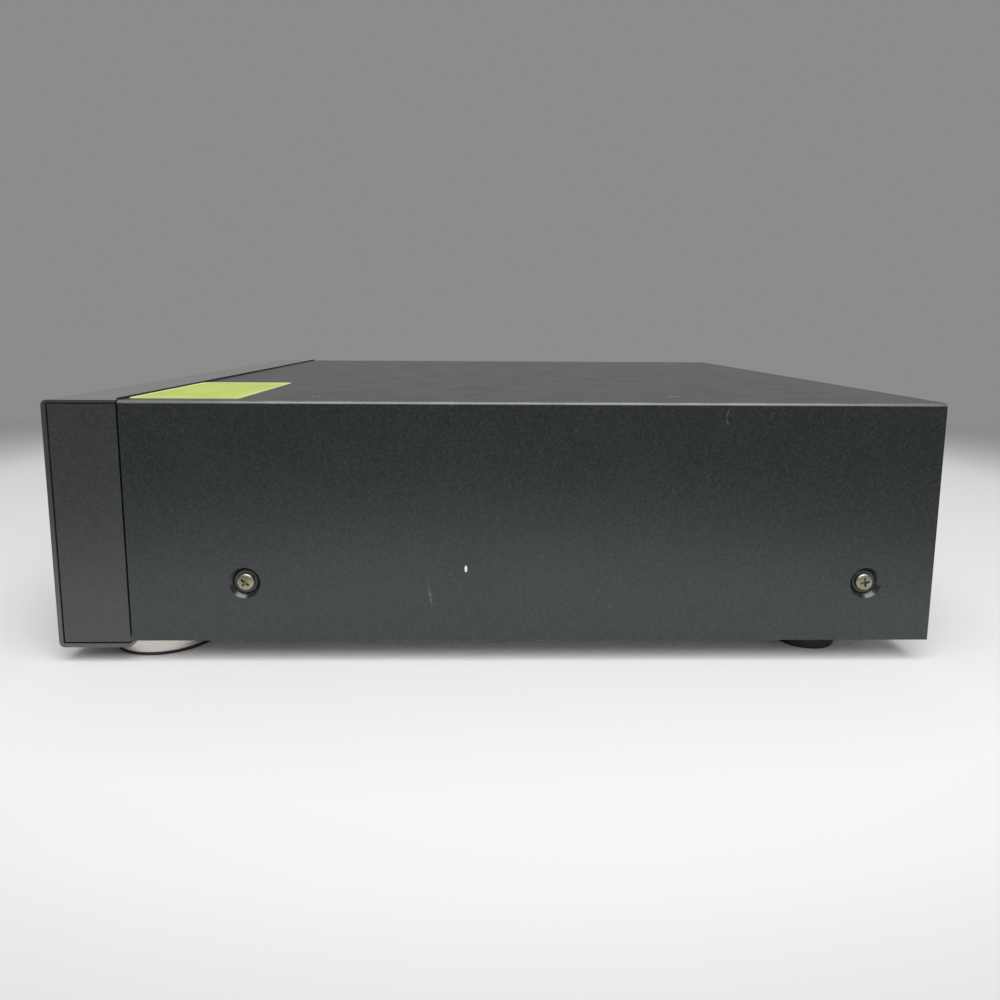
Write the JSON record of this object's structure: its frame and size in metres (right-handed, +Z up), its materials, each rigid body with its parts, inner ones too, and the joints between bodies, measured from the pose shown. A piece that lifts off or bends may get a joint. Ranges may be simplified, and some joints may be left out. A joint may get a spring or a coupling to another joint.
{
  "type": "multi disc cd changer",
  "caption": "Full-width black hi-fi disc changer: folded steel cover, aluminium fascia, sliding drawer with a turning disc carousel and a lifting playing mechanism inside.",
  "frame": {"origin": "on the supporting surface, under the middle of the whole unit", "axes": "+Z up, the fascia faces -Y, +X to the right as seen from the front"},
  "size_m": [0.435, 0.4498, 0.1309],
  "materials": {
    "black_paint": "satin",
    "fascia_black": "satin",
    "cap_black": "satin",
    "zinc_steel": "satin",
    "screw_zinc": "satin",
    "frame_plastic": "matte",
    "grey_plastic": "matte",
    "window_smoke": "gloss",
    "display_glass": "gloss",
    "circuit_green": "satin",
    "circuit_brown": "satin",
    "key_black": "satin",
    "jack_black": "gloss",
    "knob_metal": "satin",
    "gear_white": "satin",
    "carousel_grey": "satin",
    "belt_rubber": "matte",
    "motor_steel": "satin",
    "rod_steel": "polished",
    "transformer_iron": "matte",
    "socket_metal": "polished",
    "foot_silver": "satin",
    "foot_rubber": "matte"
  },
  "bodies": {
    "cabinet": {"top_cover": "black_paint", "cover_side_screws": "screw_zinc", "rear_screws": "screw_zinc", "base_chassis": "zinc_steel", "rear_panel": "black_paint", "fascia_frame": "fascia_black", "left_end_cap": "cap_black", "right_end_cap": "cap_black", "front_subframe": "frame_plastic", "display_window": "window_smoke", "display_tube": "display_glass", "front_circuit_board": "circuit_brown", "headphone_jack": "jack_black", "left_guide_rail": "frame_plastic", "right_guide_rail": "frame_plastic", "clamper_bridge": "zinc_steel", "loader_chassis": "frame_plastic", "loading_motor": "motor_steel", "loading_belt": "belt_rubber", "main_circuit_board": "circuit_green", "power_transformer": "transformer_iron", "mains_inlet": "jack_black", "line_out_sockets": "socket_metal", "front_feet": "foot_silver", "front_foot_pads": "foot_rubber", "rear_feet": "foot_rubber"},
    "drawer": {"drawer_front": "fascia_black", "drawer_base": "frame_plastic", "drawer_rack": "gear_white", "carousel_cap": "carousel_grey", "carousel_motor": "motor_steel", "carousel_belt": "belt_rubber"},
    "carousel": {"carousel": "carousel_grey", "carousel_well_walls": "carousel_grey"},
    "carousel_drive_gear": {"carousel_drive_gear": "gear_white"},
    "carousel_motor_pulley": {"carousel_motor_pulley": "gear_white"},
    "loading_drive_gear": {"loading_drive_gear": "gear_white"},
    "loading_pulley_gear": {"loading_pulley_gear": "gear_white"},
    "loading_motor_pulley": {"loading_motor_pulley": "gear_white"},
    "playing_mechanism": {"mechanism_frame": "grey_plastic", "spindle_motor": "motor_steel", "sled_guide_rods": "rod_steel", "feed_motor": "motor_steel"},
    "lift_cam_slider": {"lift_cam_slider": "gear_white"},
    "turntable": {"turntable": "frame_plastic"},
    "disc_clamper": {"disc_clamper": "gear_white"},
    "laser_pickup": {"laser_pickup": "grey_plastic"},
    "feed_screw": {"feed_screw": "rod_steel"},
    "headphone_level_knob": {"headphone_level_knob": "knob_metal"},
    "power_button": {"power_button": "key_black"},
    "previous_button": {"previous_button": "key_black"},
    "next_button": {"next_button": "key_black"},
    "stop_button": {"stop_button": "key_black"},
    "play_pause_button": {"play_pause_button": "key_black"},
    "open_close_button": {"open_close_button": "key_black"},
    "disc_1_button": {"disc_1_button": "key_black"},
    "disc_2_button": {"disc_2_button": "key_black"},
    "disc_3_button": {"disc_3_button": "key_black"},
    "disc_4_button": {"disc_4_button": "key_black"},
    "disc_5_button": {"disc_5_button": "key_black"}
  },
  "joints": [
    {"name": "drawer_slide", "type": "slide", "parent": "cabinet", "child": "drawer", "axis": [0, -1, 0], "range_m": [0, 0.24]},
    {"name": "carousel_turn", "type": "hinge", "parent": "drawer", "child": "carousel", "pos_m": [0, -0.02741, 0.0907], "axis": [0, 0, 1], "continuous": true},
    {"name": "carousel_gear_turn", "type": "hinge", "parent": "drawer", "child": "carousel_drive_gear", "pos_m": [0.05136, -0.01072, 0.083], "axis": [0, 0, 1], "continuous": true},
    {"name": "carousel_pulley_turn", "type": "hinge", "parent": "drawer", "child": "carousel_motor_pulley", "pos_m": [0.105, 0.07559, 0.083], "axis": [0, 0, 1], "continuous": true},
    {"name": "drive_gear_turn", "type": "hinge", "parent": "cabinet", "child": "loading_drive_gear", "pos_m": [-0.1075, -0.1539, 0.0648], "axis": [0, 0, 1], "range_deg": [0, 1101.08]},
    {"name": "pulley_gear_turn", "type": "hinge", "parent": "cabinet", "child": "loading_pulley_gear", "pos_m": [-0.0805, -0.1539, 0.056], "axis": [0, 0, 1], "range_deg": [-3144.08, 0]},
    {"name": "motor_pulley_turn", "type": "hinge", "parent": "cabinet", "child": "loading_motor_pulley", "pos_m": [-0.0325, -0.1539, 0.056], "axis": [0, 0, 1], "range_deg": [-11874.87, 0]},
    {"name": "mechanism_lift", "type": "hinge", "parent": "cabinet", "child": "playing_mechanism", "pos_m": [0, 0.19158, 0.05], "axis": [-1, 0, 0], "range_deg": [0, 9]},
    {"name": "cam_slide", "type": "slide", "parent": "cabinet", "child": "lift_cam_slider", "axis": [-1, 0, 0], "range_m": [0, 0.0442]},
    {"name": "spindle_spin", "type": "hinge", "parent": "playing_mechanism", "child": "turntable", "pos_m": [0, 0.07348, 0.07331], "axis": [0, -0.1564, 0.9877], "continuous": true},
    {"name": "clamper_spin", "type": "hinge", "parent": "cabinet", "child": "disc_clamper", "pos_m": [0, 0.07858, 0.106], "axis": [0, 0, 1], "continuous": true},
    {"name": "sled_slide", "type": "slide", "parent": "playing_mechanism", "child": "laser_pickup", "axis": [0, 0.9877, 0.1564], "range_m": [0, 0.035]},
    {"name": "feed_screw_turn", "type": "hinge", "parent": "playing_mechanism", "child": "feed_screw", "pos_m": [0.034, 0.07622, 0.05603], "axis": [0, 0.9877, 0.1564], "range_deg": [0, 4201]},
    {"name": "level_turn", "type": "hinge", "parent": "cabinet", "child": "headphone_level_knob", "pos_m": [-0.122, -0.2159, 0.029], "axis": [0, -1, 0], "range_deg": [-150, 150]},
    {"name": "power_press", "type": "slide", "parent": "cabinet", "child": "power_button", "axis": [0, 1, 0], "range_m": [0, 0.001], "stiffness_N_per_m": 900, "springref_m": -0.0008},
    {"name": "previous_press", "type": "slide", "parent": "cabinet", "child": "previous_button", "axis": [0, 1, 0], "range_m": [0, 0.001], "stiffness_N_per_m": 900, "springref_m": -0.0008},
    {"name": "next_press", "type": "slide", "parent": "cabinet", "child": "next_button", "axis": [0, 1, 0], "range_m": [0, 0.001], "stiffness_N_per_m": 900, "springref_m": -0.0008},
    {"name": "stop_press", "type": "slide", "parent": "cabinet", "child": "stop_button", "axis": [0, 1, 0], "range_m": [0, 0.001], "stiffness_N_per_m": 900, "springref_m": -0.0008},
    {"name": "play_pause_press", "type": "slide", "parent": "cabinet", "child": "play_pause_button", "axis": [0, 1, 0], "range_m": [0, 0.001], "stiffness_N_per_m": 900, "springref_m": -0.0008},
    {"name": "open_close_press", "type": "slide", "parent": "cabinet", "child": "open_close_button", "axis": [0, 1, 0], "range_m": [0, 0.001], "stiffness_N_per_m": 900, "springref_m": -0.0008},
    {"name": "disc_1_press", "type": "slide", "parent": "cabinet", "child": "disc_1_button", "axis": [0, 1, 0], "range_m": [0, 0.001], "stiffness_N_per_m": 900, "springref_m": -0.0008},
    {"name": "disc_2_press", "type": "slide", "parent": "cabinet", "child": "disc_2_button", "axis": [0, 1, 0], "range_m": [0, 0.001], "stiffness_N_per_m": 900, "springref_m": -0.0008},
    {"name": "disc_3_press", "type": "slide", "parent": "cabinet", "child": "disc_3_button", "axis": [0, 1, 0], "range_m": [0, 0.001], "stiffness_N_per_m": 900, "springref_m": -0.0008},
    {"name": "disc_4_press", "type": "slide", "parent": "cabinet", "child": "disc_4_button", "axis": [0, 1, 0], "range_m": [0, 0.001], "stiffness_N_per_m": 900, "springref_m": -0.0008},
    {"name": "disc_5_press", "type": "slide", "parent": "cabinet", "child": "disc_5_button", "axis": [0, 1, 0], "range_m": [0, 0.001], "stiffness_N_per_m": 900, "springref_m": -0.0008}
  ],
  "couplings": [
    {"joint": "carousel_gear_turn", "follows": "carousel_turn", "ratio": -2.8571},
    {"joint": "carousel_pulley_turn", "follows": "carousel_turn", "ratio": -9.5238},
    {"joint": "drive_gear_turn", "follows": "drawer_slide", "rad_per_m": 80},
    {"joint": "pulley_gear_turn", "follows": "drawer_slide", "rad_per_m": -228.57},
    {"joint": "motor_pulley_turn", "follows": "drawer_slide", "rad_per_m": -863.49},
    {"joint": "cam_slide", "follows": "mechanism_lift", "m_per_rad": 0.28011},
    {"joint": "clamper_spin", "follows": "spindle_spin", "ratio": 1},
    {"joint": "feed_screw_turn", "follows": "sled_slide", "rad_per_m": 2094.4}
  ]
}
